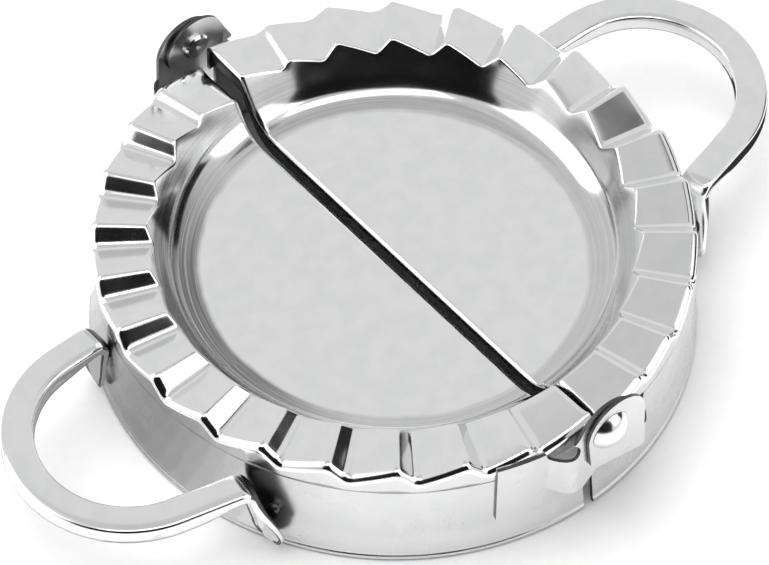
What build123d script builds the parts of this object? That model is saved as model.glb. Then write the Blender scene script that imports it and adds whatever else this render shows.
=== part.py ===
from build123d import *
import os
from math import sin, cos, tan, acos, asin, atan, sqrt, radians, degrees

# Hinged press for empanadas and dumplings, in millimetres and degrees.
# +Z is up. The origin is under the middle of the slit, on the plane that the skirts rest on.
# X runs through both handles: the front half is at -X and the back half at +X.
# Y runs along the slit and the hinge axis, from the near end to the far end.
# The trays, skirts and straps of the two halves are alike, half a turn about Z apart, and the handles
# are mirror images.

# Sheet metal
SHEET = 0.6  # thickness of every pressed sheet
SLIT = 1.8  # open gap between the two halves when the press lies flat

# Tray: bowl, toothed rim and turned-down lip
RIM_Z = 20.1  # height of the rim's top face, halfway between tooth tips and roots
BOWL_DEPTH = 3.4  # from there down to the bowl's floor
FLOOR_R = 31.7  # radius of the flat floor
WALL_R = 6.7  # radius of the bowl's hollow wall, which leaves the floor level
TOOTH_R = 45.3  # where the teeth end and the outer bend starts
TOOTH_DROP = 2.65  # drop from tip to root at that radius
RISER_PITCH = 13.0  # angle between two teeth
RISERS = 5  # teeth on each side of the middle one
END_RISER = 76.5  # angle from the middle tooth to the last one, beside the slit
RISER_ANGLE = 3.6  # part of a pitch taken by the steep side of a tooth
CORNER_ANGLE = 0.35  # half the width of the worn corner between a land and a riser
LAND_STEP = 4.2  # largest turn between two sections of the tray
RIM_BEND = 1.45  # outer radius of the bend into the lip
LIP_Z = 16.3  # lower edge of the lip, seated on the skirt's shoulder
HEM = 1.7  # depth of the turned-down edge along the slit
HEM_STEPS = 6  # straight pieces in the hem's line down the bowl's wall

# Skirt: the band under the tray, which is also the dough cutter
FLARE = 0.75  # how far the cutting edge stands outside the band
FLARE_Z = 6.2  # height over which the band flares
CUT_EDGE = 0.5  # height of the upright cutting edge
LAP = 0.55  # height of the skirt's edge inside the tray's lip
LAP_GAP = 0.1  # clearance between that edge and the lip

# Hinge
AXIS_RISE = 0.6  # height of the hinge axis above the rim
OUTER_EAR_R = 5.6  # ear pressed in the end of a skirt
EAR_SHIFT = 1.3  # how far that ear's centre lies on its own half's side of the axis
EAR_SIDE = 7.0  # distance of the ear's own side from the axis
EAR_TOE = 1.5  # how far the ear's lower corner reaches past the middle of the slit
EAR_CUT = 2.1  # bevel above that corner
EAR_LOW_Z = 12.6  # height of that corner
EAR_DROP = 1.7  # how much lower its other corner lies
SKIRT_SHIFT = 1.2  # how far the skirts meet past the slit, on the side of the strap
INNER_EAR_R = 5.5  # ear of the hinge strap
EAR_CLEAR = 1.7  # from the skirts out to the inner ear
EAR_GAP = 0.1  # between the inner and the outer ear
JOGGLE = 4.0  # width of the step that brings the skirt out to its ear
JOGGLE_GAP = 0.3  # from the tray's lip down to that step
SHELF = 2.2  # height of the sloped shelf under the ear
PIN_R = 1.6  # rivet shank
PIN_CLEAR = 0.05  # running clearance of the shank
HEAD_H = 1.9  # height of the rivet's domed head
HEAD_SHARE = 0.61  # radius of the head as a part of the outer ear's
TAIL_R = 2.3  # upset end of the rivet
TAIL_H = 0.65
TAIL_CUP = 0.35  # depth of the dimple in the upset end
CUP_R = 1.1  # mouth of that dimple
SEAT_GAP = 0.05  # between a rivet's end and the ear that turns under it

# Hinge strap, welded on the skirt
STRAP_FAR = 17.3  # distance of the strap's far edge from the hinge axis
STRAP_LOW = 6.9
NEAR_DROP = 0.9  # from the rim down to the near strap's upper edge
FAR_DROP = 2.6  # and down to the far strap's
STRAP_SHOULDER = 7.5  # where the strap starts to narrow into its ear
NECK_X = 9.8  # where the strap's lower edge steps up
NECK_TOP = 11.0  # height of that step
NECK_LOW = 9.2  # height of the strap's lower edge under its ear
NECK_TOE = 4.5  # distance from the axis at which that edge turns up to the ear
STRAP_STEP = 3.9  # width of the step out to the ear
NEAR_NOTCH_R = 2.2  # relief in the near strap's upper edge, at its shoulder
FAR_NOTCH_R = 1.0  # and in the far strap's

# Handle: one channel-shaped loop on each half
LOOP_R = 16.95  # centreline radius of the loop
CHANNEL_W = 5.1
CHANNEL_H = 2.9
CROWN_RISE = 1.4  # height of the channel's rounded top
HANDLE_Z = 15.3  # top of the channel
LEG_RUN = 5.2  # straight length of the far leg
LEG_REACH = 3.3  # from the foot out to where the leg bends down
LEG_SPLAY = 14.0  # how far the near leg opens outwards
LEG_BEND = 2.4  # radius of that bend at the channel's top
LEG_TURN = 80.0
FOOT_H = 1.7  # depth of the channel at the bend
FOOT_RUN = 7.0  # length over which the channel thins towards the bend
NEAR_SHIFT = 3.0  # how much further from the X axis than its leg the near foot is
FAR_SHIFT = 1.5  # and the far foot
FOOT_W = 6.2
FOOT_Z = 1.7  # lower end of a foot
TOE_W = 3.6
TOE_H = 1.5
TOE_CROWN = 0.95  # height of the toe's rounded top
TOE_RISE = 2.0  # height of the tapered toe
FOOT_CLEAR = 0.5  # between the foot and the cutting edge
WELD_R = 0.9  # projection that welds the foot to the skirt
WELD_Z = 7.6
DIMPLE_R = 0.55

# Places worked out from the sizes above
BAND_R = TOOTH_R + RIM_BEND
CUT_R = BAND_R + FLARE
FLOOR_Z = RIM_Z - BOWL_DEPTH
WALL_CENTRE = (FLOOR_R, FLOOR_Z + WALL_R)
AXIS_Z = RIM_Z + AXIS_RISE
HALF_SLIT = SLIT / 2
INNER_EAR_Y = BAND_R + EAR_CLEAR
OUTER_EAR_Y = INNER_EAR_Y + SHEET + EAR_GAP
HEAD_R = HEAD_SHARE * OUTER_EAR_R
FOOT_R = CUT_R + FOOT_CLEAR
LEG_END_X = sqrt(FOOT_R**2 - (LOOP_R + NEAR_SHIFT) ** 2) + LEG_REACH
LOOP_X = LEG_END_X + LEG_RUN
FAR = 200.0  # longer than the whole press


def box(x0, x1, y0, y1, z0, z1):
    size = Box(x1 - x0, y1 - y0, z1 - z0)
    return Pos((x0 + x1) / 2, (y0 + y1) / 2, (z0 + z1) / 2) * size


def upright(face, y, thickness):
    """Extrudes a face drawn in X and Z from the plane at y towards +Y."""
    return extrude(Plane.XZ.offset(-y) * face, -thickness)


def bridge(start, end):
    """Solid between two four-sided sections, each a list of corners in space."""
    sections = [Face(Wire.make_polygon([Vector(*p) for p in points])) for points in (start, end)]
    return Solid.make_loft([face.outer_wire() for face in sections], ruled=True)


# ------------------------------------------------------------------ tray


def tooth_corners():
    """Corners of the saw-tooth round one half, from the far end of the slit to the near end.

    Each is an angle and a tilt, the rim's rise per unit of radius. A land climbs slowly and the
    riser behind it drops. The first and last lands run on to the slit.
    """
    tip = TOOTH_DROP / 2 / TOOTH_R
    half_riser = RISER_ANGLE / 2
    climb = 2 * tip / (RISER_PITCH - RISER_ANGLE)
    run_on = climb * (90.0 - END_RISER - half_riser) - tip
    corners = [(90.0, -run_on)]
    middle = [RISER_PITCH * k for k in range(-RISERS, RISERS + 1)]
    for place in (-END_RISER, *middle, END_RISER):
        corners += [(180.0 + place - half_riser, tip), (180.0 + place + half_riser, -tip)]
    return corners + [(270.0, run_on)]


def tilt_at(angle):
    corners = tooth_corners()
    for (a, tilt_a), (b, tilt_b) in zip(corners, corners[1:]):
        if angle <= b:
            return tilt_a + (tilt_b - tilt_a) * (angle - a) / (b - a)
    return corners[-1][1]


def section_angles():
    """Angles of the tray's sections: one on each side of a tooth's corner and some along a land."""
    corners = [angle for angle, tilt in tooth_corners()]
    angles = []
    for a, b in zip(corners, corners[1:]):
        start = a if a == corners[0] else a + CORNER_ANGLE
        end = b if b == corners[-1] else b - CORNER_ANGLE
        steps = max(1, round((end - start) / LAND_STEP))
        angles += [start + (end - start) * i / steps for i in range(steps + 1)]
    return angles


def arc(centre, radius, start, end):
    """Three points of an arc in a radial section, with turns counted outwards from straight down."""
    turns = [radians(turn) for turn in (start, (start + end) / 2, end)]
    return [(centre[0] + radius * sin(t), centre[1] - radius * cos(t)) for t in turns]


def wall_turn(tilt, offset):
    """Turn at which the bowl's wall meets a rim of the given tilt, with both lowered by the offset."""
    centre_r, centre_z = WALL_CENTRE
    height = (centre_z - RIM_Z - centre_r * tilt) * cos(atan(tilt)) + offset
    return degrees(atan(tilt) + acos(height / (WALL_R + offset)))


def tray_section(angle):
    """Closed section of the tray's sheet in the upright plane at the given angle."""
    tilt = tilt_at(angle)
    wall = arc(WALL_CENTRE, WALL_R, 0, wall_turn(tilt, 0))
    wall_under = arc(WALL_CENTRE, WALL_R + SHEET, wall_turn(tilt, SHEET), 0)
    rim_end = (TOOTH_R, RIM_Z + TOOTH_R * tilt)
    edge_centre = (TOOTH_R, rim_end[1] - RIM_BEND)
    rim_bend = arc(edge_centre, RIM_BEND, 180, 90)
    rim_under = arc(edge_centre, RIM_BEND - SHEET, 90, 180)
    lip = [rim_bend[-1], (BAND_R, LIP_Z), (BAND_R - SHEET, LIP_Z), rim_under[0]]
    runs = [wall, [wall[-1], rim_end], rim_bend, lip[0:2], lip[1:3], lip[2:4], rim_under]
    runs += [[rim_under[-1], wall_under[0]], wall_under, [wall_under[-1], wall[0]]]
    edges = []
    for run in runs:
        points = [Vector(r * cos(radians(angle)), r * sin(radians(angle)), z) for r, z in run]
        make_edge = Edge.make_three_point_arc if len(points) == 3 else Edge.make_line
        edges.append(make_edge(*points))
    return Wire(edges)


def hem_line(drop):
    """Line of the sheet's top over the hem, as Y and Z, lowered by the given amount."""
    x = HALF_SLIT + SHEET / 2
    line = []
    for side, slit_angle in ((-1, 270.0), (1, 90.0)):
        tilt = tilt_at(slit_angle + side * degrees(atan(x / TOOTH_R)))
        steps = range(HEM_STEPS, -1, -1)
        profile = [(TOOTH_R, RIM_Z + TOOTH_R * tilt)]
        profile += [arc(WALL_CENTRE, WALL_R, 0, wall_turn(tilt, 0) * i / HEM_STEPS)[-1] for i in steps]
        points = [(side * sqrt(r * r - x * x), z - drop) for r, z in profile]
        line += points if side < 0 else points[::-1]
    return line


def make_tray():
    """Bowl, toothed rim and lip of the front half, pressed from one sheet."""
    ring = Solid.make_loft([tray_section(angle) for angle in section_angles()], ruled=True)
    floor = Pos(0, 0, FLOOR_Z - SHEET / 2) * Cylinder(FLOOR_R + SHEET / 2, SHEET)
    tray = ring + floor
    hem_face = make_face(Polyline(*hem_line(SHEET / 2), *hem_line(HEM)[::-1], close=True))
    tray += Pos(-HALF_SLIT - SHEET, 0, 0) * extrude(Plane.YZ * hem_face, SHEET)
    return tray & box(-FAR, -HALF_SLIT, -FAR, FAR, 0, FAR)


# ------------------------------------------------------------------ skirt


def make_band():
    """The plain skirt: a flared cutting edge, an upright band and a stepped-in upper edge."""
    inner_r = BAND_R - SHEET
    lap_r = inner_r - LAP_GAP
    lap_z = LIP_Z + LAP
    flare = Spline((CUT_R, CUT_EDGE), (BAND_R, FLARE_Z), tangents=((0, 1), (0, 1)))
    outside = Line((CUT_R, 0), (CUT_R, CUT_EDGE)) + flare
    outside += Polyline((BAND_R, FLARE_Z), (BAND_R, LIP_Z), (lap_r, LIP_Z), (lap_r, lap_z))
    inside = Polyline((lap_r, lap_z), (lap_r - SHEET, lap_z), (lap_r - SHEET, LIP_Z - SHEET))
    inside += Polyline((lap_r - SHEET, LIP_Z - SHEET), (inner_r, LIP_Z - 2 * SHEET), (inner_r, FLARE_Z))
    inside += Pos(-SHEET, 0) * flare
    inside += Polyline((CUT_R - SHEET, CUT_EDGE), (CUT_R - SHEET, 0), (CUT_R, 0))
    profile = make_face(outside + inside)
    return Rot(0, 0, 90) * revolve(Plane.XZ * profile, Axis.Z, 180)


def ear_end_y(x, radius):
    return sqrt(radius * radius - x * x)


def make_skirt(hole_r):
    """Skirt of the front half, with its far end stepped out and rounded into the outer ear."""
    end_x = SKIRT_SHIFT - HALF_SLIT
    step_x = -EAR_SIDE - JOGGLE
    low_corner = EAR_LOW_Z - EAR_DROP
    step_low = low_corner - EAR_DROP * JOGGLE / EAR_SIDE
    inner_r = BAND_R - SHEET
    ear_y = (OUTER_EAR_Y, OUTER_EAR_Y + SHEET)
    slit_y = (ear_end_y(end_x, inner_r), ear_end_y(end_x, BAND_R))
    side_y = (ear_end_y(EAR_SIDE, inner_r), ear_end_y(EAR_SIDE, BAND_R))
    step_y = (ear_end_y(step_x, inner_r), ear_end_y(step_x, BAND_R))

    ring = make_band()
    band = ring & box(-FAR, end_x, 0, FAR, 0, FAR)
    band += ring & box(-FAR, -SKIRT_SHIFT - HALF_SLIT, -FAR, 0, 0, FAR)
    window = Polyline(
        (FAR, EAR_LOW_Z - SHELF), (end_x, EAR_LOW_Z - SHELF), (-EAR_SIDE, low_corner - SHELF),
        (step_x, step_low - SHELF), (step_x, FAR), (FAR, FAR), close=True,
    )
    band -= upright(make_face(window), 0, FAR)

    disc = Pos(-EAR_SHIFT, AXIS_Z) * Circle(OUTER_EAR_R)
    corners = [(EAR_TOE + EAR_CUT, EAR_LOW_Z + EAR_CUT), (EAR_TOE, EAR_LOW_Z)]
    corners += [(-EAR_SIDE, low_corner), (-EAR_SIDE, LIP_Z)]
    outline = make_hull(disc.edges() + Polyline(*corners).edges())
    plate = upright(outline, ear_y[0], SHEET)

    def shelf_end(x, top_y, low_y, top_z):
        high = [(x, top_y[0], top_z), (x, top_y[1], top_z)]
        return high + [(x, low_y[1], top_z - SHELF), (x, low_y[0], top_z - SHELF)]

    def step_end(x, ys, low_z):
        top_z = LIP_Z - JOGGLE_GAP
        return [(x, ys[0], top_z), (x, ys[1], top_z), (x, ys[1], low_z), (x, ys[0], low_z)]

    slit_end = shelf_end(end_x, ear_y, slit_y, EAR_LOW_Z)
    middle = shelf_end(-EAR_SIDE, ear_y, side_y, low_corner)
    band_end = shelf_end(step_x, step_y, step_y, step_low)
    shelves = bridge(slit_end, middle) + bridge(middle, band_end)
    step = bridge(step_end(-EAR_SIDE, ear_y, low_corner), step_end(step_x, step_y, step_low))
    skirt = band + plate + shelves + step
    return skirt - hinge_hole(hole_r)


def hinge_hole(radius):
    return Pos(0, 0, AXIS_Z) * Rot(90, 0, 0) * Cylinder(radius, FAR)


# ------------------------------------------------------------------ hinge strap and rivet


def make_strap(hole_r, drop, notch_r):
    """Strap on the near end of the front skirt: a curved plate stepped out to a round ear."""
    high_z = RIM_Z - drop

    def plan_line(offset):
        radius = BAND_R + offset
        step_x = -INNER_EAR_R - STRAP_STEP
        points = [(x, -ear_end_y(x, radius)) for x in (-STRAP_FAR, (step_x - STRAP_FAR) / 2, step_x)]
        flat_y = -INNER_EAR_Y - offset
        return ThreePointArc(*points), [points[-1], (-INNER_EAR_R, flat_y), (INNER_EAR_R, flat_y)]

    skin, skin_run = plan_line(0)
    face, face_run = plan_line(SHEET)
    plan = skin + Polyline(*skin_run, *face_run[::-1]) + face + Line(face @ 0, skin @ 0)
    sheet = extrude(make_face(plan), FAR)

    shoulder = ((-STRAP_SHOULDER, NECK_LOW), (-STRAP_SHOULDER, high_z))
    lower_edge = ((-FAR, STRAP_LOW), (-NECK_X, STRAP_LOW), (-NECK_X, NECK_TOP))
    plate = Polyline(*lower_edge, *shoulder, (-FAR, high_z), close=True)
    disc = Pos(0, AXIS_Z) * Circle(INNER_EAR_R)
    neck = Polyline((-NECK_TOE, NECK_LOW), *shoulder)
    outline = make_face(plate) + make_hull(disc.edges() + neck.edges())
    outline -= Pos(-STRAP_SHOULDER, high_z) * Circle(notch_r)
    return (sheet & upright(outline, -FAR, FAR)) - hinge_hole(hole_r)


def make_rivet(seat_in, seat_out):
    """Rivet through the two ears at +Y, with its domed head outside and its upset end inside."""
    shank = Plane.XZ.offset(-seat_in) * Pos(0, AXIS_Z) * Circle(PIN_R)
    rivet = extrude(shank, seat_in - seat_out)
    bulge = (HEAD_R ** 2 + HEAD_H ** 2) / (2 * HEAD_H)
    dome = Pos(0, seat_out + HEAD_H - bulge, AXIS_Z) * Sphere(bulge)
    rivet += dome & box(-FAR, FAR, seat_out, FAR, 0, FAR)
    tail = Pos(0, seat_in - TAIL_H / 2, AXIS_Z) * Rot(90, 0, 0) * Cylinder(TAIL_R, TAIL_H)
    tail = chamfer(tail.edges().group_by(Axis.Y)[0], TAIL_H / 2)
    cup = Pos(0, seat_in - TAIL_H, AXIS_Z) * Rot(-90, 0, 0) * Cone(CUP_R, 0, 2 * TAIL_CUP)
    return rivet + (tail - cup)


# ------------------------------------------------------------------ handle


def channel(width, depth, rise):
    """Section of the handle's sheet, open below, with the middle of its rounded top at the origin."""
    half = width / 2
    inner = half - SHEET
    crown = EllipticalCenterArc((0, -rise), half, rise, arc_size=180)
    vault = EllipticalCenterArc((0, -rise), inner, rise - SHEET, arc_size=180)
    near = Polyline((half, -rise), (half, -depth), (inner, -depth), (inner, -rise))
    far = Polyline((-half, -rise), (-half, -depth), (-inner, -depth), (-inner, -rise))
    return make_face(crown + vault + near + far)


def leg_end(splay):
    """Distance from the X axis of a leg's end, where the leg opens outwards by the given angle."""
    run = LOOP_X + LOOP_R * sin(radians(splay)) - LEG_END_X
    return LOOP_R * cos(radians(splay)) + run * tan(radians(splay))


def make_foot(splay, shift):
    """Bend and flattened toe at the far leg of the front handle."""
    leg_y = leg_end(splay)
    across = (-sin(radians(splay)), cos(radians(splay)), 0)
    along = (cos(radians(splay)), sin(radians(splay)), 0)
    leg = Plane((-LEG_END_X, leg_y, HANDLE_Z), x_dir=across, z_dir=along)
    bend_axis = Axis((-LEG_END_X, leg_y, HANDLE_Z - LEG_BEND), across)
    start = leg * channel(CHANNEL_W, FOOT_H, CROWN_RISE)
    bend = revolve(start, bend_axis, LEG_TURN)
    bent = start.rotate(bend_axis, LEG_TURN)

    place = radians(180.0) - asin((leg_y + shift) / FOOT_R)

    def toe_section(width, z):
        origin = (FOOT_R * cos(place), FOOT_R * sin(place), z)
        plane = Plane(origin, x_dir=(sin(place), -cos(place), 0), z_dir=(0, 0, -1))
        return plane * channel(width, TOE_H, TOE_CROWN)

    sections = (bent, toe_section(FOOT_W, FOOT_Z + TOE_RISE), toe_section(TOE_W, FOOT_Z))
    wires = [section.faces()[0].outer_wire() for section in sections]
    foot = bend + Solid.make_loft(wires, ruled=True)
    outwards = Plane((0, 0, WELD_Z), x_dir=(0, 0, 1), z_dir=(cos(place), sin(place), 0))
    weld = extrude(outwards.offset(BAND_R - SHEET) * Circle(WELD_R), FOOT_R + 2 * SHEET - BAND_R)
    weld -= Cylinder(BAND_R, FAR)
    dimple_at = Pos(FOOT_Z + TOE_RISE - WELD_Z, 0)
    dimple = extrude(outwards.offset(FOOT_R + SHEET / 2) * dimple_at * Circle(DIMPLE_R), FAR)
    return foot + weld - dimple


def make_handle():
    """Loop of the front handle, with a foot bent down at each end."""
    splay = radians(LEG_SPLAY)
    turn_x = -LOOP_X - LOOP_R * sin(splay)
    turn_y = -LOOP_R * cos(splay)
    path = Line((-LEG_END_X, LOOP_R), (-LOOP_X, LOOP_R))
    path += ThreePointArc((-LOOP_X, LOOP_R), (-LOOP_X - LOOP_R, 0), (turn_x, turn_y))
    path += Line((turn_x, turn_y), (-LEG_END_X, -leg_end(LEG_SPLAY)))
    start = Plane((-LEG_END_X, LOOP_R, HANDLE_Z), x_dir=(0, -1, 0), z_dir=(-1, 0, 0))
    loop = sweep(start * channel(CHANNEL_W, CHANNEL_H, CROWN_RISE), path=Pos(0, 0, HANDLE_Z) * path)
    low_z = HANDLE_Z - CHANNEL_H
    thin_x = -LEG_END_X - FOOT_RUN
    end_x = -LEG_END_X + CHANNEL_W * tan(splay)
    bend_z = HANDLE_Z - FOOT_H
    thinned = Polyline((-LEG_END_X, bend_z), (thin_x, low_z), (end_x, low_z), (end_x, bend_z), close=True)
    loop -= upright(make_face(thinned), -FAR, 2 * FAR)
    near_foot = mirror(make_foot(LEG_SPLAY, NEAR_SHIFT), Plane.XZ)
    return loop + make_foot(0, FAR_SHIFT) + near_foot


# ------------------------------------------------------------------ the whole press


def turned(part):
    return Rot(0, 0, 180) * part


def make_press():
    tight = PIN_R
    loose = PIN_R + PIN_CLEAR
    inner_face = INNER_EAR_Y
    outer_face = OUTER_EAR_Y + SHEET
    far_rivet = make_rivet(inner_face - SEAT_GAP, outer_face)
    near_rivet = turned(make_rivet(inner_face, outer_face + SEAT_GAP))
    tray = make_tray()
    handle = make_handle()
    return {
        "front_tray": tray,
        "front_skirt": make_skirt(tight),
        "front_hinge_strap": make_strap(tight, NEAR_DROP, NEAR_NOTCH_R),
        "front_handle": handle,
        "near_rivet": near_rivet,
        "far_rivet": far_rivet,
        "back_tray": turned(tray),
        "back_skirt": turned(make_skirt(loose)),
        "back_hinge_strap": turned(make_strap(loose, FAR_DROP, FAR_NOTCH_R)),
        "back_handle": mirror(handle, Plane.YZ),
    }


os.makedirs("parts", exist_ok=True)
for node, part in make_press().items():
    export_step(part, f"parts/{node}.step")
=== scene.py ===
from math import asin, atan, atan2, cos, hypot, pi, radians, sin, sqrt, tan

import bmesh
import bpy
from mathutils import Matrix, Vector
from mathutils.geometry import convex_hull_2d


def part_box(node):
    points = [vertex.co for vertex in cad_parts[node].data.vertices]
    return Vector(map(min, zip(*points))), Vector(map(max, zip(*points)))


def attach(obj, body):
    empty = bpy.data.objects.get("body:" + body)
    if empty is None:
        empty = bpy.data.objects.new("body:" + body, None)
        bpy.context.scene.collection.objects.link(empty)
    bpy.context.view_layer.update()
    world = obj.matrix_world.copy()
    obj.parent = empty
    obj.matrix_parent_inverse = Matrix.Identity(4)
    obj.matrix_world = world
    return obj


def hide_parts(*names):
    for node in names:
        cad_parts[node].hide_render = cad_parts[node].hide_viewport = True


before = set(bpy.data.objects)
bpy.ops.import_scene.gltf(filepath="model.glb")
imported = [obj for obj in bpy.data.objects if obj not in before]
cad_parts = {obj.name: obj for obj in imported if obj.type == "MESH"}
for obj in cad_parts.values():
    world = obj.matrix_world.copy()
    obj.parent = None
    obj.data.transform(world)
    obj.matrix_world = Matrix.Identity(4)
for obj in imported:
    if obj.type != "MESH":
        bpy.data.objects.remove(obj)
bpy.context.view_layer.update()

# Sizes are in metres and angles in degrees. +Z is up and X runs through both handles.
# The front half lies at -X and the back half at +X. The near hinge lies at -Y.

SHEET = 0.0006  # thickness of the pressed steel
HALF_SLIT = 0.0009  # from the upright plane through the hinge to each tray's edge

# Tray: bowl, toothed rim, rolled lip and hem
BOWL_DEPTH = 0.0072
FLOOR_R = 0.0298
WALL_R = 0.0063  # the hollow at the wall's foot, which runs into a straight cone
WALL_SLOPE = 60.0
RIM_FILLET = 0.0008  # rounding between the bowl's wall and the rim
RIM_BEND = 0.00145  # outer radius of the bend from the rim to the lip
TOOTH_DROP = 0.00265
RISER_PITCH = 13.0
RISERS = 5  # on each side of the middle one
LAND_ANGLE = 9.4  # the rest of the pitch is the steep side
END_RISER = 76.5  # place of the last steep side, counted from the middle one
END_ANGLE = 2.0
END_SHARE = 0.5  # height of the last step beside the slit, as a share of the others
TIP_ROUND = 0.75  # half the angle over which a tooth's tip is rounded
ROOT_ROUND = 1.05
LIP_Z = 0.0163
HEM = 0.0034  # how far the hem goes down from the tray's upper face
HEM_BEND = 0.0009  # outer radius of the bend along the slit
HEM_FADE = 0.0006  # the hem runs out over this much on either side of TOOTH_R

# Skirt: the band under the tray, with a beaded cutting edge and the outer ear of the hinge
FLARE = 0.00075  # how far the cutting edge stands out from the band
FLARE_Z = 0.0062  # height at which the flare ends
BEAD_H = 0.0012  # height of the rounded cutting edge
BEAD_DIP = 0.00028  # how far it bulges out
FOOT_SHADE_HEIGHT = 0.0003  # height of the painted contact shadow along the foot of that edge
SKIRT_SHIFT = 0.0012  # how far the front skirt's ends lie from the tray's, towards +X at the far end
EAR_SHIFT = 0.0013
EAR_SIDE = 0.007
EAR_TOE = 0.0015
EAR_CUT = 0.0021
EAR_LOW_Z = 0.0126
EAR_DROP = 0.0017
OUTER_EAR_R = 0.0056
JOGGLE = 0.004  # length of the step from the band out to the ear
SHELF = 0.0022  # height of the blend under the ear
EDGE_ROUND = 0.00008  # of the cut edges of skirt and strap

# Hinge strap
EAR_CLEAR = 0.0017
EAR_GAP = 0.0001
INNER_EAR_R = 0.0055
AXIS_RISE = 0.0006
STRAP_FAR = 0.0173
STRAP_LOW = 0.0069
NEAR_DROP = 0.0009  # from the rim down to the near strap's upper edge
FAR_DROP = 0.0026
STRAP_SHOULDER = 0.0075
NECK_X = 0.0098
NECK_TOP = 0.011
NECK_LOW = 0.0092
NECK_TOE = 0.0045
STRAP_STEP = 0.0039
NEAR_NOTCH_R = 0.0022
FAR_NOTCH_R = 0.001
SPOT_WELDS = ((-0.0141, 0.0147), (-0.0135, 0.0102))  # across and up
SPOT_R = 0.0006
SPOT_DEPTH = 0.00012

# Handle: one strip of channel section, bent down into a foot at each end
CHANNEL_W = 0.0051
CHANNEL_H = 0.0029
CROWN_RISE = 0.0012
CROWN_POWER = 3.6  # 2 is an ellipse, and more is flatter on top
LOOP_R = 0.01695
LEG_RUN = 0.0052
LEG_SPLAY = 14.0  # of the near leg
LEG_BEND = 0.003
LEG_TURN = 80.0
FOOT_H = 0.0017
FOOT_RUN = 0.007
NEAR_SHIFT = 0.003
FAR_SHIFT = 0.0015
FOOT_W = 0.0062
FOOT_Z = 0.0017
FOOT_CLEAR = 0.0005
FOOT_TWIST = 0.5  # how far the foot turns from its leg's direction to the skirt's
TOE_H = 0.0009
TOE_CROWN = 0.0004
TOE_RISE = 0.0026
TOE_TURN = 78.0  # how much of a quarter round the toe's outline is
SHADED_BEND = 0.85  # the crown is painted dark, as shade, where the upward part of its direction is under this
WELD_R = 0.0009
WELD_Z = 0.0076
WELD_LENGTH = 2.5 * SHEET
WELD_FLARE = 0.25  # growth of a stud's radius from its waist to its ends, as a share

# Fineness of the meshes
SWEEP_STEP = 0.25  # degrees along the tray
FLOOR_ROWS = 6
HOLLOW_ROWS = 14
CONE_ROWS = 4
FILLET_ROWS = 8
LAND_ROWS = 6
BEND_ROWS = 10
LIP_ROWS = 4
HEM_CUTS = 6
COARSE_CUT = 0.0012
MIDDLE_CUT = 0.0005
FINE_CUT = 0.0003
STRAP_CUT = 0.0002
BEAD_CUT = 0.0001
ABOVE_LIP_CUT = 0.001
EAR_SIDES = 96
NOTCH_STEPS = 12
CROWN_STEPS = 20
SIDE_STEPS = 3
LOOP_STEPS = 64
FAR_LEG_STEPS = 6
NEAR_LEG_STEPS = 8
FOOT_STEPS = 12
TOE_STEPS = 10
WELD_SIDES = 32
WELD_STEPS = 8
TRAY_SNAP = 1e-7  # a cut goes through the points that are nearer to it than this
SHEET_SNAP = 1e-8
ON_CUT = 1e-6  # a point nearer to the tray's cut edge than this is on it
SHARP_ANGLE = 40.0  # edges over this angle are shaded sharp
ROUNDED_ANGLE = 50.0  # and those over this one are rounded, where a piece has a rounding

# Places in a piece's list of steels
POLISHED = 0
# the next is nearly black steel for the cut edges and for painted shade
CUT_EDGE_AND_SHADE = 1
LIP_STEEL = 2

# Steels. The scale of a noise is in waves per metre
NOISE_LOW = 0.3  # a noise counts as nothing up to here
NOISE_HIGH = 0.7  # and as all from here
SMUDGE_SCALE = 90.0
CLEAN_SHARE = 0.75  # roughness of the clean places, as a share of the steel's own
SMUDGED_SHARE = 1.35
CLOUD_SCALE = 300.0
CLOUD_TINT = (0.95, 0.955, 0.96)
DENT_SCALE = 220.0
DENT_STRENGTH = 0.04
DENT_DEPTH = 0.0002

# Painted dark reflection on the bowl's wall, in streaks like drawing marks
WALL_SHADE_START = 0.0004  # from the floor's edge
WALL_SHADE_END = 0.0085
WALL_SHADE_PITCH = 3500.0
WALL_SHADE_EDGE = 0.0011
WALL_SHADE_EDGE_SCALE = 140.0
WALL_SHADE_TINT = 0.22
WALL_SHADE_HEAVY = 163.0  # where they are heaviest, counted from +X towards +Y

# Paper
PAPER_ROUGHNESS = 0.8
PAPER_SCALE = 600.0
PAPER_DARK = 0.885
PAPER_LIGHT = 0.9

# Camera
CAMERA_PLACE = (-0.32891, -0.37462, 0.64495)
CAMERA_AZIMUTH = -41.1226
CAMERA_ELEVATION = 51.9734
CAMERA_ROLL = 0.99695
CAMERA_LENS = 243.78  # this and the next are in millimetres
CAMERA_SENSOR = 36.0
CAMERA_NEAR = 0.1
CAMERA_FAR = 20.0

# Studio
FLOOR_SIZE = 4.0
WORLD_LIGHT = 0.8
RING_CARD_Z = 0.0004
RING_CARD_STEPS = 3
# Cards on the floor by the front skirt: a painted shadow that the steel mirrors
GLOW_CARDS = 16
GLOW_REACH = (0.0003, 0.022)  # from the skirt outwards
GLOW_START = 136.0
GLOW_STEP = 4.2
GLOW_DIM = 0.62  # how much darker the middle ones are than the ends

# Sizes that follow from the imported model
tray_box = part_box("front_tray")
BAND_R = -tray_box[0].x
TOOTH_R = BAND_R - RIM_BEND
TIP_TILT = TOOTH_DROP / 2 / TOOTH_R
AXIS_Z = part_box("front_skirt")[1].z - OUTER_EAR_R
RIM_Z = AXIS_Z - AXIS_RISE
FLOOR_Z = RIM_Z - BOWL_DEPTH
WALL_CENTRE = (FLOOR_R, FLOOR_Z + WALL_R)

CUT_R = BAND_R + FLARE
INNER_EAR_Y = BAND_R + EAR_CLEAR
OUTER_EAR_Y = INNER_EAR_Y + SHEET + EAR_GAP
STRAP_FOOT = -INNER_EAR_R - STRAP_STEP  # where the strap leaves the band

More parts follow.
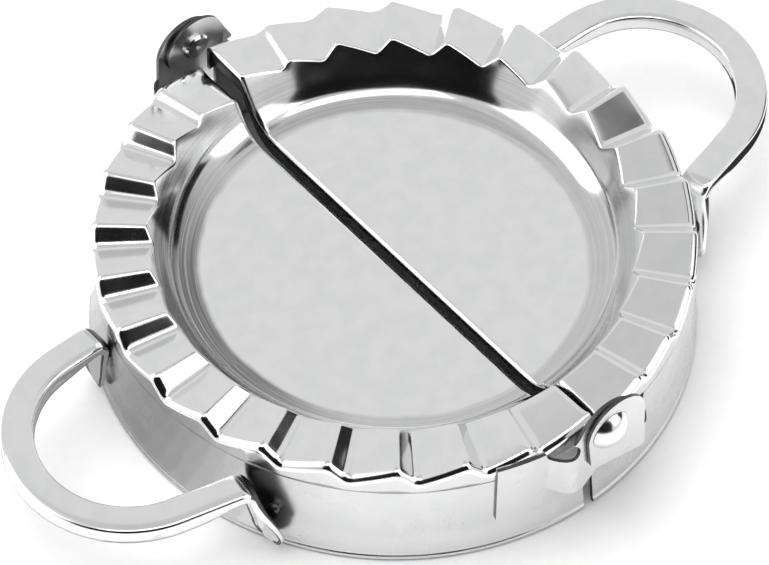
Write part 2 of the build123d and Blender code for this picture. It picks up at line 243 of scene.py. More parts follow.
# Both ends of the unrolled skirt and the start of its ear, along the band from +Y
SKIRT_NEAR = -pi * BAND_R + BAND_R * asin((SKIRT_SHIFT + HALF_SLIT) / BAND_R)
SKIRT_FAR = SKIRT_SHIFT - HALF_SLIT
SKIRT_STEP = -EAR_SIDE - JOGGLE

handle_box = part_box("front_handle")
FOOT_R = CUT_R + FOOT_CLEAR
HANDLE_Z = handle_box[1].z
LOOP_X = -handle_box[0].x - LOOP_R - CHANNEL_W / 2
LEG_END_X = LOOP_X - LEG_RUN


# ------------------------------------------------------------------ helpers


def mixed(a, b, share):
    return a + (b - a) * share


def eased(share):
    """The same share with a level start and end."""
    return share * share * (3 - 2 * share)


def smooth_share(x, start, end):
    return eased(min(1.0, max(0.0, (x - start) / (end - start))))


def stepped(start, end, step):
    """Evenly spaced numbers from start to end, about a step apart."""
    count = max(1, round((end - start) / step))
    return [start + (end - start) * i / count for i in range(count + 1)]


def turned_point(centre, radius, turn):
    """Point of an arc in a radial section, with the turn counted outwards from straight down."""
    return centre[0] + radius * sin(turn), centre[1] - radius * cos(turn)


def arc_points(centre, radius, start, end, count):
    return [turned_point(centre, radius, start + (end - start) * i / count) for i in range(count + 1)]


def between(first, last, count):
    """The points that divide a straight line into equal parts, without its ends."""
    return [tuple(a + (b - a) * i / count for a, b in zip(first, last)) for i in range(1, count)]


def finished(name, mesh, thick=False, rounding=0.0):
    """The piece made from a mesh of its outer face. A thick one gets its sheet inwards."""
    data = bpy.data.meshes.new(name)
    mesh.normal_update()
    mesh.to_mesh(data)
    mesh.free()
    piece = bpy.data.objects.new(name, data)
    bpy.context.scene.collection.objects.link(piece)
    data.shade_smooth()
    if thick:
        sheet = piece.modifiers.new("sheet", "SOLIDIFY")
        sheet.thickness = SHEET
        sheet.offset = -1
        sheet.use_even_offset = True
        # The inner face takes the steel before its own in the piece's list, and the cut edge the next
        sheet.material_offset = -1
        sheet.material_offset_rim = 1
    if rounding:
        edges = piece.modifiers.new("edges", "BEVEL")
        edges.width = rounding
        edges.segments = 2
        edges.limit_method = "ANGLE"
        edges.angle_limit = radians(ROUNDED_ANGLE)
        edges.harden_normals = True
    data.set_sharp_from_angle(angle=radians(SHARP_ANGLE))
    return piece


# ------------------------------------------------------------------ tray


def tooth_corners():
    """Corners of the saw-tooth from the far end of the slit to the near end, each an angle and a tilt."""
    riser = RISER_PITCH - LAND_ANGLE
    run_on = 2 * TIP_TILT / LAND_ANGLE * (90.0 - END_RISER - riser / 2) - TIP_TILT
    risers = [(RISER_PITCH * k, riser / 2, TIP_TILT) for k in range(-RISERS, RISERS + 1)]
    last = (END_RISER, END_ANGLE / 2, TIP_TILT * END_SHARE)
    corners = [(90.0, -run_on)]
    for place, half, tilt in ((-END_RISER, *last[1:]), *risers, last):
        corners += [(180.0 + place - half, tilt), (180.0 + place + half, -tilt)]
    return corners + [(270.0, run_on)]


def soft_ramp(x, half_width):
    """Nothing up to 0 and then x, with the corner at 0 rounded."""
    if x <= -half_width:
        return 0.0
    return x if x >= half_width else (x + half_width) ** 2 / (4 * half_width)


def tilt_at(angle):
    """The rim's rise per unit of radius, with the tips and roots of the teeth rounded."""
    corners = tooth_corners()
    slopes = [(t1 - t0) / (a1 - a0) for (a0, t0), (a1, t1) in zip(corners, corners[1:])]
    tilt = corners[0][1] + slopes[0] * (angle - corners[0][0])
    for (corner, _), before, after in zip(corners[1:], slopes, slopes[1:]):
        rounding = TIP_ROUND if after < before else ROOT_ROUND
        tilt += (after - before) * soft_ramp(angle - corner, rounding)
    return tilt


def tray_profile(tilt):
    """Radial section of the tray's upper face, from the middle of the floor to the end of the lip."""
    slope, wall = atan(tilt), radians(WALL_SLOPE)
    foot = turned_point(WALL_CENTRE, WALL_R, wall)
    length = (RIM_Z + foot[0] * tilt - foot[1]) / (sin(wall) - cos(wall) * tilt)
    length -= RIM_FILLET * tan((wall - slope) / 2)
    top = (foot[0] + length * cos(wall), foot[1] + length * sin(wall))
    fillet_centre = turned_point(top, RIM_FILLET, wall)
    bend_centre = (TOOTH_R, RIM_Z + TOOTH_R * tilt - RIM_BEND / cos(slope))

    floor = [(FLOOR_R * i / FLOOR_ROWS, FLOOR_Z) for i in range(FLOOR_ROWS)]
    hollow = arc_points(WALL_CENTRE, WALL_R, 0.0, wall, HOLLOW_ROWS)
    cone = between(foot, top, CONE_ROWS)
    fillet = arc_points(fillet_centre, RIM_FILLET, wall + pi, slope + pi, FILLET_ROWS)
    bend = arc_points(bend_centre, RIM_BEND, slope + pi, pi / 2, BEND_ROWS)
    land = between(fillet[-1], bend[0], LAND_ROWS)
    lip_top, drop = bend[-1][1], LIP_Z - bend[-1][1]
    lip = [(BAND_R, lip_top + drop * i / LIP_ROWS) for i in range(1, LIP_ROWS + 1)]
    return floor + hollow + cone + fillet + land + bend + lip


def hem_share(y):
    """How much of the hem there is at a place along the slit: it ends before the lip."""
    return smooth_share(TOOTH_R + HEM_FADE - abs(y), 0, 2 * HEM_FADE)


def cut_at_slit(mesh):
    """Cuts the tray off along the slit, and into strips beside it for the bend."""
    for i in range(HEM_CUTS + 1):
        share = sin(radians(90 / HEM_CUTS * i))
        bmesh.ops.bisect_plane(
            mesh, geom=mesh.verts[:] + mesh.edges[:] + mesh.faces[:],
            plane_co=(-HALF_SLIT - HEM_BEND + HEM_BEND * share, 0, 0), plane_no=(1, 0, 0),
            clear_outer=i == HEM_CUTS, dist=TRAY_SNAP,
        )


def on_slit(edge):
    """Whether an edge of the tray lies on the cut, inside the teeth's outer radius."""
    close = [abs(v.co.x + HALF_SLIT) < ON_CUT and abs(v.co.y) < TOOTH_R for v in edge.verts]
    return edge.is_boundary and all(close)


def add_hem(mesh):
    """Bends the tray's edge down along the slit and lengthens it into a hem."""
    cut_at_slit(mesh)
    for vert in mesh.verts:
        inside = min(HEM_BEND, vert.co.x + HALF_SLIT + HEM_BEND)
        if inside > 0:
            drop = HEM_BEND - sqrt(HEM_BEND**2 - inside**2)
            vert.co.z -= drop * hem_share(vert.co.y)
    cut = [edge for edge in mesh.edges if on_slit(edge)]
    for item in bmesh.ops.extrude_edge_only(mesh, edges=cut)["geom"]:
        if isinstance(item, bmesh.types.BMVert):
            item.co.z -= (HEM - HEM_BEND) * hem_share(item.co.y)
        # The hem's faces take the nearly black steel: painted shade in the slit
        if isinstance(item, bmesh.types.BMFace):
            item.material_index = CUT_EDGE_AND_SHADE


def make_tray(name, turn):
    """One tray as smooth sheet metal, turned about Z."""
    mesh = bmesh.new()
    rows = []
    for angle in stepped(90.0, 270.0, SWEEP_STEP):
        profile = tray_profile(tilt_at(angle))
        spoke = (cos(radians(angle)), sin(radians(angle)))
        rows.append([mesh.verts.new((r * spoke[0], r * spoke[1], z)) for r, z in profile[1:]])
    middle = mesh.verts.new((0, 0, FLOOR_Z))
    for row, following in zip(rows, rows[1:]):
        mesh.faces.new((middle, row[0], following[0]))
        for i in range(len(row) - 1):
            face = mesh.faces.new((row[i], row[i + 1], following[i + 1], following[i]))
            face.material_index = LIP_STEEL if i >= len(row) - 1 - LIP_ROWS else POLISHED
    add_hem(mesh)
    mesh.transform(Matrix.Rotation(radians(turn), 4, "Z"))
    return finished(name, mesh, thick=True)


# ------------------------------------------------------------------ skirt and hinge strap


def hull(centre, radius, corners):
    """Outline round a disc and some corners, counterclockwise from the first corner."""
    turns = [2 * pi * i / EAR_SIDES for i in range(EAR_SIDES)]
    disc = [Vector((centre[0] + radius * cos(t), centre[1] + radius * sin(t))) for t in turns]
    points = disc + [Vector(c) for c in corners]
    outline = [points[i] for i in convex_hull_2d(points)]
    area = sum(a.x * b.y - b.x * a.y for a, b in zip(outline, outline[1:] + outline[:1]))
    outline = outline if area > 0 else outline[::-1]
    first = min(range(len(outline)), key=lambda i: (outline[i] - Vector(corners[0])).length)
    return outline[first:] + outline[:first]


def sliced_sheet(outline, cuts_u, cuts_v, place):
    """A flat outline cut into fine strips and then laid on a curved surface."""
    mesh = bmesh.new()
    mesh.faces.new([mesh.verts.new((u, 0, v)) for u, v in outline])
    for cuts, axis in ((cuts_u, Vector((1, 0, 0))), (cuts_v, Vector((0, 0, 1)))):
        for cut in cuts:
            bmesh.ops.bisect_plane(
                mesh, geom=mesh.verts[:] + mesh.edges[:] + mesh.faces[:],
                plane_co=axis * cut, plane_no=axis, dist=SHEET_SNAP,
            )
    for vert in mesh.verts:
        vert.co = place(vert.co.x, vert.co.z)
    return mesh


def faced(mesh, towards):
    """Turns the faces so that the one nearest to a far point looks at it."""
    bmesh.ops.recalc_face_normals(mesh, faces=mesh.faces[:])
    nearest = min(mesh.faces, key=lambda f: (f.calc_center_median() - towards).length)
    nearest.normal_update()
    if nearest.normal.dot(towards - nearest.calc_center_median()) < 0:
        bmesh.ops.reverse_faces(mesh, faces=mesh.faces[:])
    return mesh


def band_radius(z):
    """Outside radius of the skirt at a height: a beaded cutting edge, a flare and the upright band."""
    if z < BEAD_H:
        return CUT_R - BEAD_DIP * (1 - sin(pi * z / BEAD_H))
    rest = 1 - smooth_share(z, BEAD_H, FLARE_Z)
    return BAND_R + (CUT_R - BEAD_DIP - BAND_R) * rest


def skirt_outline():
    """The unrolled skirt's outline, along the band and up, with the round ear at its far end."""
    corners = [
        (EAR_TOE, EAR_LOW_Z), (EAR_TOE + EAR_CUT, EAR_LOW_Z + EAR_CUT),
        (-EAR_SIDE, LIP_Z), (-EAR_SIDE, EAR_LOW_Z - EAR_DROP),
    ]
    ear = hull((-EAR_SHIFT, AXIS_Z), OUTER_EAR_R, corners)[:-1]
    return [
        (SKIRT_NEAR, 0), (SKIRT_FAR, 0), (SKIRT_FAR, EAR_LOW_Z), *[tuple(p) for p in ear],
        (SKIRT_STEP, LIP_Z), (SKIRT_NEAR, LIP_Z),
    ]


def place_on_skirt(u, z):
    """Place of a point of the unrolled skirt: on the band, or on the flat ear that stands out of it."""
    angle = pi / 2 - u / BAND_R
    radius = band_radius(z)
    band = Vector((radius * cos(angle), radius * sin(angle), z))
    if u < SKIRT_STEP:
        return band
    low = EAR_LOW_Z - EAR_DROP / (EAR_SIDE + SKIRT_FAR) * (SKIRT_FAR - u)
    share = smooth_share(z, low - SHELF, low) * smooth_share(u, SKIRT_STEP, -EAR_SIDE)
    return band.lerp(Vector((u, OUTER_EAR_Y + SHEET, z)), share)


def make_skirt(name, turn):
    """Skirt of one half, with its end stepped out and rounded into the outer ear."""
    shelf_z = EAR_LOW_Z - 2 * SHELF
    cuts_u = stepped(SKIRT_NEAR, SKIRT_STEP, COARSE_CUT)[1:]
    cuts_u += stepped(SKIRT_STEP, OUTER_EAR_R - EAR_SHIFT, FINE_CUT)[1:]
    cuts_z = stepped(0, BEAD_H, BEAD_CUT) + stepped(BEAD_H, shelf_z, MIDDLE_CUT)
    cuts_z += stepped(shelf_z, LIP_Z, FINE_CUT) + stepped(LIP_Z, AXIS_Z + OUTER_EAR_R, ABOVE_LIP_CUT)
    outside = Vector((-1, 0.3, 0.01))
    mesh = faced(sliced_sheet(skirt_outline(), cuts_u, cuts_z, place_on_skirt), outside)
    for face in mesh.faces:
        # The lowest band takes the nearly black steel: a painted contact shadow along the skirt's foot
        face.material_index = CUT_EDGE_AND_SHADE if face.calc_center_median().z < FOOT_SHADE_HEIGHT else POLISHED
    mesh.transform(Matrix.Rotation(radians(turn), 4, "Z"))
    return finished(name, mesh, thick=True, rounding=EDGE_ROUND)


def strap_outline(high_z, notch_r):
    """The flat strap's outline, across and up: a plate, a round notch, and a neck up to the ear."""
    shoulder = Vector((-STRAP_SHOULDER, high_z))
    corners = [(-STRAP_SHOULDER, NECK_LOW), (-NECK_TOE, NECK_LOW), tuple(shoulder)]
    neck = [p for p in hull((0, AXIS_Z), INNER_EAR_R, corners) if (p - shoulder).length > notch_r]
    towards = neck[-1] - shoulder
    start = atan2(towards.y, towards.x)
    turns = [mixed(start, -pi, i / NOTCH_STEPS) for i in range(NOTCH_STEPS + 1)]
    notch = [(shoulder.x + notch_r * cos(t), shoulder.y + notch_r * sin(t)) for t in turns]
    plate = [(-STRAP_FAR, high_z), (-STRAP_FAR, STRAP_LOW), (-NECK_X, STRAP_LOW), (-NECK_X, NECK_TOP)]
    return [tuple(p) for p in neck] + notch + plate


def place_on_strap(x, z):
    """Place of a point of the flat strap: on the skirt's band, or on the flat ear that stands out of it."""
    radius = BAND_R + SHEET
    curved = sqrt(radius * radius - x * x)
    out = mixed(curved, INNER_EAR_Y + SHEET, smooth_share(x, STRAP_FOOT, -INNER_EAR_R))
    for spot_x, spot_z in SPOT_WELDS:
        out -= SPOT_DEPTH * (1 - smooth_share(hypot(x - spot_x, z - spot_z), 0, SPOT_R))
    return Vector((x, -out, z))


def make_strap(name, drop, notch_r, turn):
    """Hinge strap: a curved plate welded on the skirt and stepped out to its round ear."""
    high_z = RIM_Z - drop
    cuts_x = stepped(-STRAP_FAR, STRAP_FOOT, STRAP_CUT)[1:]
    cuts_x += stepped(STRAP_FOOT, INNER_EAR_R, FINE_CUT)[1:-1]
    cuts_z = stepped(STRAP_LOW, high_z, STRAP_CUT)[1:-1]
    outside = Vector((-0.3, -1, 0.01))
    mesh = faced(sliced_sheet(strap_outline(high_z, notch_r), cuts_x, cuts_z, place_on_strap), outside)
    mesh.transform(Matrix.Rotation(radians(turn), 4, "Z"))
    return finished(name, mesh, thick=True, rounding=EDGE_ROUND)


# ------------------------------------------------------------------ handle


def channel_points(half, rise, depth):
    """Outside of the channel's section, across and up from the middle of its crown."""
    left = [(-half, -depth + (depth - rise) * i / SIDE_STEPS) for i in range(SIDE_STEPS)]
    crown = []
    for i in range(CROWN_STEPS + 1):
        turn = pi - pi * i / CROWN_STEPS
        across = abs(cos(turn)) ** (2 / CROWN_POWER) * (1 if cos(turn) > 0 else -1)
        crown.append((half * across, rise * abs(sin(turn)) ** (2 / CROWN_POWER) - rise))
    right = [(half, -rise - (depth - rise) * i / SIDE_STEPS) for i in range(1, SIDE_STEPS + 1)]
    return left + crown + right


def leg_end(splay):
    """Distance from the X axis of a leg's end, where the leg opens outwards by the given angle."""
    run = LOOP_X + LOOP_R * sin(radians(splay)) - LEG_END_X
    return LOOP_R * cos(radians(splay)) + run * tan(radians(splay))


def bend_stations(splay):
    """Sections of the far leg's bend from the level strip down towards the skirt.

    Each section is its place, the directions across and up, its half width, rise and depth.
    """
    across = Vector((-sin(radians(splay)), cos(radians(splay)), 0))
    along = Vector((cos(radians(splay)), sin(radians(splay)), 0))
    centre = Vector((-LEG_END_X, leg_end(splay), HANDLE_Z - LEG_BEND))
    stations = []
    for i in range(FOOT_STEPS + 1):
        turn = radians(LEG_TURN) * i / FOOT_STEPS
        up = along * sin(turn) + Vector((0, 0, cos(turn)))
        stations.append((centre + up * LEG_BEND, across, up, CHANNEL_W / 2, CROWN_RISE, FOOT_H))
    return stations


def toe_stations(toe_top, across, up):
    """Sections of the toe's rounded end, downwards from its top."""
    stations = []
    for i in range(1, TOE_STEPS + 1):
        turn = radians(TOE_TURN) * i / TOE_STEPS
        drop = Vector((0, 0, -TOE_RISE * sin(turn) / sin(radians(TOE_TURN))))
        narrow = cos(turn)
        stations.append((
            toe_top + drop, across, up, FOOT_W / 2 * narrow,
            TOE_CROWN * narrow, mixed(TOE_CROWN, TOE_H, narrow),
        ))
    return stations


def foot_stations(splay, shift):
    """Sections of the far foot from the end of its leg to its toe."""
    stations = bend_stations(splay)
    last_place, across, last_up, *_ = stations[-1]
    along = Vector((cos(radians(splay)), sin(radians(splay)), 0))
    place = pi - asin((leg_end(splay) + shift) / FOOT_R)
    inwards = mixed(along, Vector((-cos(place), -sin(place), 0)), FOOT_TWIST).normalized()
    level = inwards.cross(Vector((0, 0, -1)))
    toe_top = Vector((FOOT_R * cos(place), FOOT_R * sin(place), FOOT_Z + TOE_RISE))
    for i in range(1, FOOT_STEPS + 1):
        share = i / FOOT_STEPS
        soft = eased(share)
        stations.append((
            mixed(last_place, toe_top, share),
            mixed(across, level, soft).normalized(),
            mixed(last_up, inwards, soft).normalized(),
            mixed(CHANNEL_W, FOOT_W, soft) / 2,
            mixed(CROWN_RISE, TOE_CROWN, soft),
            mixed(FOOT_H, TOE_H, soft),
        ))
    return stations + toe_stations(toe_top, level, inwards)


def near_foot_stations():
    """Sections of the near foot, from its leg to its toe: the far one's, mirrored in the XZ plane."""
    return [
        (
            Vector((place.x, -place.y, place.z)),
            -Vector((across.x, -across.y, across.z)),
            Vector((up.x, -up.y, up.z)), *section,
        )
        for place, across, up, *section in foot_stations(LEG_SPLAY, NEAR_SHIFT)
    ]


def loop_places(near_leg_end):
    """Places along the level strip between both feet: far leg, loop and near leg."""
    last_turn = radians(270 - LEG_SPLAY)
    turns = [mixed(radians(90), last_turn, i / LOOP_STEPS) for i in range(LOOP_STEPS + 1)]
    loop = [Vector((-LOOP_X + LOOP_R * cos(t), LOOP_R * sin(t), HANDLE_Z)) for t in turns]
    far_steps = [LEG_RUN * i / FAR_LEG_STEPS for i in range(1, FAR_LEG_STEPS)]
    far_leg = [Vector((-LEG_END_X - step, LOOP_R, HANDLE_Z)) for step in far_steps]
    near_leg = [mixed(loop[-1], near_leg_end, i / NEAR_LEG_STEPS) for i in range(1, NEAR_LEG_STEPS)]
    return far_leg + loop + near_leg


def handle_stations():
    """Sections of the front handle from the far toe round the loop to the near toe."""
    flipped = [(place, -across, *rest) for place, across, *rest in foot_stations(0.0, FAR_SHIFT)]
    stations = flipped[::-1]
    near = near_foot_stations()
    path = [stations[-1][0], *loop_places(near[0][0]), near[0][0]]
    for before, place, after in zip(path, path[1:], path[2:]):
        ahead = (after - before).normalized()
        share = min(1.0, (-LEG_END_X - place.x) / FOOT_RUN)
        depth = mixed(FOOT_H, CHANNEL_H, eased(share))
        across = Vector((0, 0, 1)).cross(ahead)
        stations.append((place, across, Vector((0, 0, 1)), CHANNEL_W / 2, CROWN_RISE, depth))
    return stations + near


def make_handle(name, mirrored):
    """One loop handle. The crown of the front one's bends and feet takes the nearly black steel, as painted
    shade.
    """
    mesh = bmesh.new()
    stations = handle_stations()
    rows = []
    for place, across, up, half, rise, depth in stations:
        points = channel_points(half, rise, depth)
        rows.append([mesh.verts.new(place + across * x + up * y) for x, y in points])
    crown = range(SIDE_STEPS + 1, SIDE_STEPS + CROWN_STEPS - 1)
    for row, following, (_, _, up, *_) in zip(rows, rows[1:], stations):
        # painted shade on the crown of the front handle's bends and feet
        is_shaded = up.z < SHADED_BEND and not mirrored
        for i in range(len(row) - 1):
            face = mesh.faces.new((row[i], following[i], following[i + 1], row[i + 1]))
            face.material_index = CUT_EDGE_AND_SHADE if is_shaded and i in crown else POLISHED
    if mirrored:
        mesh.transform(Matrix.Scale(-1, 4, (1, 0, 0)))
        bmesh.ops.reverse_faces(mesh, faces=mesh.faces[:])
    return finished(name, mesh, thick=True)


def add_stud(mesh, place, side):
    """One waisted stud, at an angle round the skirt and on the far (1) or near (-1) side of the X axis."""
    outwards = Vector((cos(place), side * sin(place), 0))
    level = Vector((0, 0, 1)).cross(outwards)
    turns = [2 * pi * i / WELD_SIDES for i in range(WELD_SIDES)]
    spokes = [level * cos(t) + Vector((0, 0, sin(t))) for t in turns]
    rings = []
    for i in range(WELD_STEPS + 1):
        share = i / WELD_STEPS
        middle = outwards * (BAND_R - SHEET / 2 + WELD_LENGTH * share) + Vector((0, 0, WELD_Z))
        flare = 1.0 + WELD_FLARE * (2 * share - 1) ** 2
        rings.append([mesh.verts.new(middle + spoke * WELD_R * flare) for spoke in spokes])
    for ring, following in zip(rings, rings[1:]):
        for i in range(WELD_SIDES):
            after = (i + 1) % WELD_SIDES
            mesh.faces.new((ring[i], ring[after], following[after], following[i]))
    mesh.faces.new(rings[0][::-1])
    mesh.faces.new(rings[-1])


def make_welds(name, mirrored):
    """The two pressed studs that join a handle's feet to the skirt."""
    mesh = bmesh.new()
    for splay, shift, side in ((0.0, FAR_SHIFT, 1), (LEG_SPLAY, NEAR_SHIFT, -1)):
        add_stud(mesh, pi - asin((leg_end(splay) + shift) / FOOT_R), side)
    if mirrored:
        mesh.transform(Matrix.Scale(-1, 4, (1, 0, 0)))
    bmesh.ops.recalc_face_normals(mesh, faces=mesh.faces[:])
    return finished(name, mesh)


# ------------------------------------------------------------------ materials


def grey(value):
    return (value, value, value, 1)


def add_node(tree, kind, values=(), **settings):
    """A shader node whose first inputs are each linked or set to a value."""
    node = tree.nodes.new("ShaderNode" + kind)
    for setting, value in settings.items():
        setattr(node, setting, value)
    for socket, value in zip(node.inputs, values):
        if isinstance(value, bpy.types.NodeSocket):
            tree.links.new(value, socket)
        elif value is not None:
            socket.default_value = value
    return node


def noise(tree, place, scale, detail):
    node = add_node(tree, "TexNoise", (place,))
    node.inputs["Scale"].default_value = scale
    node.inputs["Detail"].default_value = detail
    return node.outputs["Fac"]


def ramp(tree, value, low, high, start=0.0, end=1.0):
    """Smooth step from start to end, between two values of the input."""
    node = add_node(tree, "MapRange", (value, low, high, start, end), interpolation_type="SMOOTHSTEP")
    return node.outputs["Result"]


def calculated(tree, operation, *values):
    return add_node(tree, "Math", values, operation=operation).outputs["Value"]


def multiplied(tree, *values):
    return calculated(tree, "MULTIPLY", *values)


def mixed_colour(tree, share, first, second):
    node = add_node(tree, "Mix", data_type="RGBA")
    for socket, value in (("Factor", share), ("A", first), ("B", second)):
        if isinstance(value, bpy.types.NodeSocket):
            tree.links.new(value, node.inputs[socket])
        else:
            node.inputs[socket].default_value = value
    return node.outputs["Result"]


def painted_wall_shade(tree, place):
    """Share of painted dark reflection in streaks along the bowl's wall, like drawing marks."""
    x, y, z = add_node(tree, "SeparateXYZ", (place,)).outputs
    along = calculated(tree, "ARCTAN2", y, x)
    squares = calculated(tree, "ADD", multiplied(tree, x, x), multiplied(tree, y, y))
    radius = calculated(tree, "SQRT", squares)

    lines = add_node(tree, "CombineXYZ", (multiplied(tree, radius, WALL_SHADE_PITCH), along, z))
    streaks = noise(tree, lines.outputs["Vector"], scale=1.0, detail=4.0)
    streaks = ramp(tree, streaks, low=0.35, high=0.6, start=0.65, end=1.0)
    turned = calculated(tree, "COSINE", calculated(tree, "SUBTRACT", along, radians(WALL_SHADE_HEAVY)))
    heaviness = ramp(tree, turned, low=0.5, high=0.95, start=0.35, end=1.0)
    streaks = multiplied(tree, streaks, heaviness)

    inner, outer = FLOOR_R + WALL_SHADE_START, FLOOR_R + WALL_SHADE_END
    waver = noise(tree, place, WALL_SHADE_EDGE_SCALE, detail=3.0)
    blurred = calculated(tree, "MULTIPLY_ADD", waver, WALL_SHADE_EDGE, radius)
    past_inner = ramp(tree, blurred, inner, inner + WALL_SHADE_EDGE)
    before_outer = ramp(tree, blurred, outer, outer - WALL_SHADE_EDGE)
    return multiplied(tree, multiplied(tree, past_inner, before_outer), streaks)


def add_dents(tree, shader, place):
    bump = add_node(tree, "Bump")
    bump.inputs["Strength"].default_value = DENT_STRENGTH
    bump.inputs["Distance"].default_value = DENT_DEPTH
    tree.links.new(noise(tree, place, DENT_SCALE, detail=1.0), bump.inputs["Height"])
    tree.links.new(bump.outputs["Normal"], shader.inputs["Normal"])


def chrome(name, tint, roughness, with_wall_shade=False):
    """Bright steel with finger smudges and fine dents, and on the bowl's wall a painted dark reflection in
    streaks like drawing marks.
    """
    material = bpy.data.materials.new(name)
    material.use_nodes = True
    tree = material.node_tree
    shader = tree.nodes["Principled BSDF"]
    shader.inputs["Metallic"].default_value = 1.0
    place = add_node(tree, "TexCoord").outputs["Object"]
    smudges = noise(tree, place, SMUDGE_SCALE, detail=4.0)
    clean, smudged = roughness * CLEAN_SHARE, roughness * SMUDGED_SHARE
    rough = ramp(tree, smudges, NOISE_LOW, NOISE_HIGH, clean, smudged)
    tree.links.new(rough, shader.inputs["Roughness"])
    clouds = ramp(tree, noise(tree, place, CLOUD_SCALE, detail=3.0), NOISE_LOW, NOISE_HIGH)
    clouded = (*(tint * share for share in CLOUD_TINT), 1)
    colour = mixed_colour(tree, clouds, clouded, grey(tint))
    if with_wall_shade:
        # painted dark reflection on the wall, heaviest towards one side
        colour = mixed_colour(tree, painted_wall_shade(tree, place), colour, grey(tint * WALL_SHADE_TINT))
    tree.links.new(colour, shader.inputs["Base Color"])
    add_dents(tree, shader, place)
    return material


def make_paper():
    """Pale matt paper with a faint grain."""
    material = bpy.data.materials.new("paper")
    material.use_nodes = True
    tree = material.node_tree
    shader = tree.nodes["Principled BSDF"]
    shader.inputs["Roughness"].default_value = PAPER_ROUGHNESS
    place = add_node(tree, "TexCoord").outputs["Object"]
    grain = ramp(tree, noise(tree, place, PAPER_SCALE, detail=3.0), NOISE_LOW, NOISE_HIGH)
    colour = mixed_colour(tree, grain, grey(PAPER_DARK), grey(PAPER_LIGHT))
    tree.links.new(colour, shader.inputs["Base Color"])
    return material


def glow(name, brightness):
    """A material that gives white light and does nothing else."""
    material = bpy.data.materials.new(name)
    material.use_nodes = True
    tree = material.node_tree
    tree.nodes.clear()
    emission = tree.nodes.new("ShaderNodeEmission")
    emission.inputs["Color"].default_value = grey(1)
    emission.inputs["Strength"].default_value = brightness
    output = tree.nodes.new("ShaderNodeOutputMaterial")
    tree.links.new(emission.outputs["Emission"], output.inputs["Surface"])
    return material


# ------------------------------------------------------------------ studio


def direction(azimuth, elevation):
    """Unit vector, with the azimuth counted from +X towards +Y."""
    a, e = radians(azimuth), radians(elevation)
    return Vector((cos(a) * cos(e), sin(a) * cos(e), sin(e)))


def add_camera():
    """The camera of the photo, with its azimuth counted from -Y towards +X."""
    azimuth, elevation = radians(CAMERA_AZIMUTH), radians(CAMERA_ELEVATION)
    roll = radians(CAMERA_ROLL)
    back = Vector((sin(azimuth) * cos(elevation), -cos(azimuth) * cos(elevation), sin(elevation)))
    level = Vector((cos(azimuth), sin(azimuth), 0))
    upright = back.cross(level)
    right = cos(roll) * level + sin(roll) * upright
    up = cos(roll) * upright - sin(roll) * level
    data = bpy.data.cameras.new("camera")
    data.sensor_width = CAMERA_SENSOR
    data.lens = CAMERA_LENS
    data.clip_start = CAMERA_NEAR
    data.clip_end = CAMERA_FAR
    camera = bpy.data.objects.new("camera", data)
    turn = Matrix((right, up, back)).transposed().to_4x4()
    camera.matrix_world = Matrix.Translation(CAMERA_PLACE) @ turn
    bpy.context.scene.collection.objects.link(camera)
    bpy.context.scene.camera = camera


def stage_card(name, corners, faces, brightness):
    """A lit or black card that only the polished steel sees."""
    data = bpy.data.meshes.new(name)
    data.from_pydata([tuple(c) for c in corners], [], faces)
    data.materials.append(glow(name, brightness))
    card = bpy.data.objects.new(name, data)
    card.visible_camera = False
    card.visible_diffuse = False
    card.visible_shadow = False
    bpy.context.scene.collection.objects.link(card)


def add_card(name, aim, spread, brightness, distance=0.7):
    """A card that faces the press, with its place and size as angles seen from there."""
    width, height = (distance * tan(radians(angle / 2)) for angle in spread)
    towards = direction(*aim)
    side = Vector((0, 0, 1)).cross(towards).normalized()
    up = towards.cross(side)
    signs = ((-1, -1), (1, -1), (1, 1), (-1, 1))
    corners = [towards * distance + side * width * i + up * height * j for i, j in signs]
    stage_card(name, corners, [(0, 1, 2, 3)], brightness)


def add_ring_card(name, reach, span, brightness):
    """A card that is part of a ring on the floor, between two distances from the skirt."""
    radii = [CUT_R + distance for distance in reach]
    turns = [radians(mixed(*span, i / RING_CARD_STEPS)) for i in range(RING_CARD_STEPS + 1)]
    corners = [(r * cos(t), r * sin(t), RING_CARD_Z) for t in turns for r in radii]
    faces = [(i, i + 2, i + 3, i + 1) for i in range(0, len(corners) - 2, 2)]
    stage_card(name, corners, faces, brightness)


def add_light(name, aim, distance, size, power):
    """A soft light from above, which the steel doesn't mirror."""
    data = bpy.data.lights.new(name, "AREA")
    data.shape = "DISK"
    data.size = size
    data.energy = power
    light = bpy.data.objects.new(name, data)
    towards = direction(*aim)
    turn = towards.to_track_quat("Z", "Y").to_matrix().to_4x4()
    light.matrix_world = Matrix.Translation(towards * distance) @ turn
    light.visible_glossy = False
    bpy.context.scene.collection.objects.link(light)


def add_world():
    world = bpy.data.worlds.new("studio")
    world.use_nodes = True
    world.node_tree.nodes["Background"].inputs["Color"].default_value = grey(WORLD_LIGHT)
    bpy.context.scene.world = world
    bpy.context.scene.view_settings.view_transform = "Standard"


def add_floor_shade_cards():
    """Cards on the floor along the front skirt, brightest at both ends of the row: a painted shadow on the
    floor that only the steel's reflections show.
    """
    for i in range(GLOW_CARDS):
        start = GLOW_START + GLOW_STEP * i
        brightness = 1.0 - GLOW_DIM * sin(pi * (i + 0.5) / GLOW_CARDS)
        add_ring_card(f"floor_card_{i}", GLOW_REACH, (start, start + GLOW_STEP), brightness)


def add_floor():
    bpy.ops.mesh.primitive_plane_add(size=FLOOR_SIZE)
    floor = bpy.context.object
    floor.name = "floor"
    floor.data.materials.append(make_paper())


# ------------------------------------------------------------------ the press

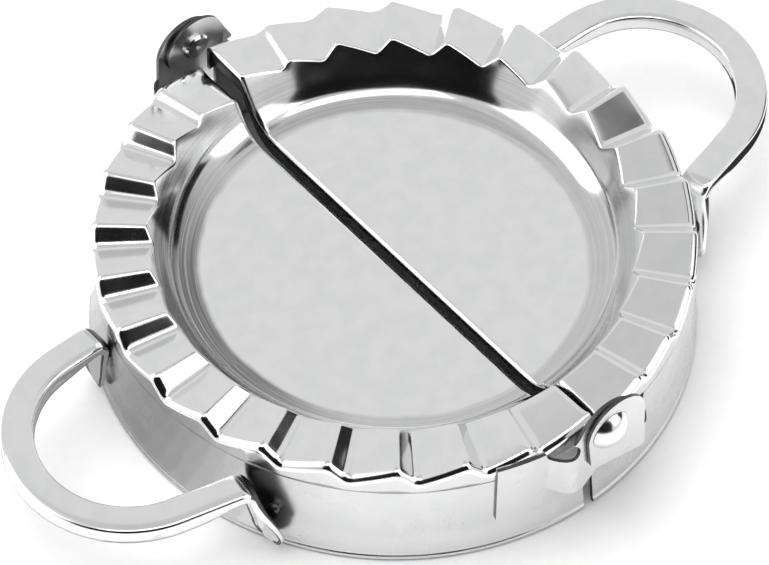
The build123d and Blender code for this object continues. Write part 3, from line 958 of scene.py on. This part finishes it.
tray_steel = chrome("tray_steel", tint=0.86, roughness=0.12, with_wall_shade=True)
skirt_steel = chrome("skirt_steel", tint=0.73, roughness=0.24)
handle_steel = chrome("handle_steel", tint=0.84, roughness=0.17)
rivet_steel = chrome("rivet_steel", tint=0.84, roughness=0.14)
# Nearly black: the sheets' cut edges, and painted shade in the slit, at the skirt's foot, on the front
# handle's bends and on the welds
cut_edge_and_shade_steel = chrome("cut_edge_and_shade_steel", tint=0.1, roughness=0.35)


def dress(piece, half, node, slot, *steels):
    """Lets a piece ride on its half in place of a CAD node, in the given steels."""
    if node:
        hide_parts(half + node)
    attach(piece, half + "_half")
    for steel in steels:
        piece.data.materials.append(steel)


for half, turn in (("front", 0.0), ("back", 180.0)):
    is_back = half == "back"
    drop, notch_r = (FAR_DROP, FAR_NOTCH_R) if is_back else (NEAR_DROP, NEAR_NOTCH_R)
    tray = make_tray(half + "_tray_sheet", turn)
    dress(tray, half, "_tray", "tray_steel", tray_steel, cut_edge_and_shade_steel, skirt_steel)
    skirt = make_skirt(half + "_skirt_sheet", turn)
    dress(skirt, half, "_skirt", "skirt_steel", skirt_steel, cut_edge_and_shade_steel)
    strap = make_strap(half + "_strap_sheet", drop, notch_r, turn)
    dress(strap, half, "_hinge_strap", "skirt_steel", skirt_steel, cut_edge_and_shade_steel)
    handle = make_handle(half + "_handle_strip", is_back)
    dress(handle, half, "_handle", "handle_steel", handle_steel, cut_edge_and_shade_steel)
    # The studs take only the nearly black steel, as painted shade between the feet and the skirt
    dress(make_welds(half + "_handle_welds", is_back), half, None, "handle_steel", cut_edge_and_shade_steel)

for rivet in ("near_rivet", "far_rivet"):
    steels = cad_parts[rivet].data.materials
    steels.clear()
    steels.append(rivet_steel)

add_camera()
add_world()
add_light("key", aim=(120, 68), distance=1.2, size=1.5, power=15)
add_card("card_room", aim=(-130, 24), spread=(84, 58), brightness=0.01, distance=1.3)
add_card("card_over", aim=(-112, 65), spread=(48, 15), brightness=2.5, distance=1.3)
add_card("card_left", aim=(-58, 32), spread=(34, 38), brightness=2.2)
add_card("card_low", aim=(-19, 13), spread=(34, 22), brightness=0.02)
add_card("card_flag", aim=(-26, 62), spread=(14, 10), brightness=0.15)
add_card("card_top", aim=(60, 84), spread=(40, 36), brightness=0.64)
add_card("card_back", aim=(147, 30), spread=(46, 46), brightness=2.0)
add_floor_shade_cards()
# A nearly black card on the floor under the back handle: a painted shadow that only the steel's reflections
# show
add_ring_card("floor_card_handle", reach=(0.0155, 0.036), span=(-34, 4), brightness=0.03)
add_floor()
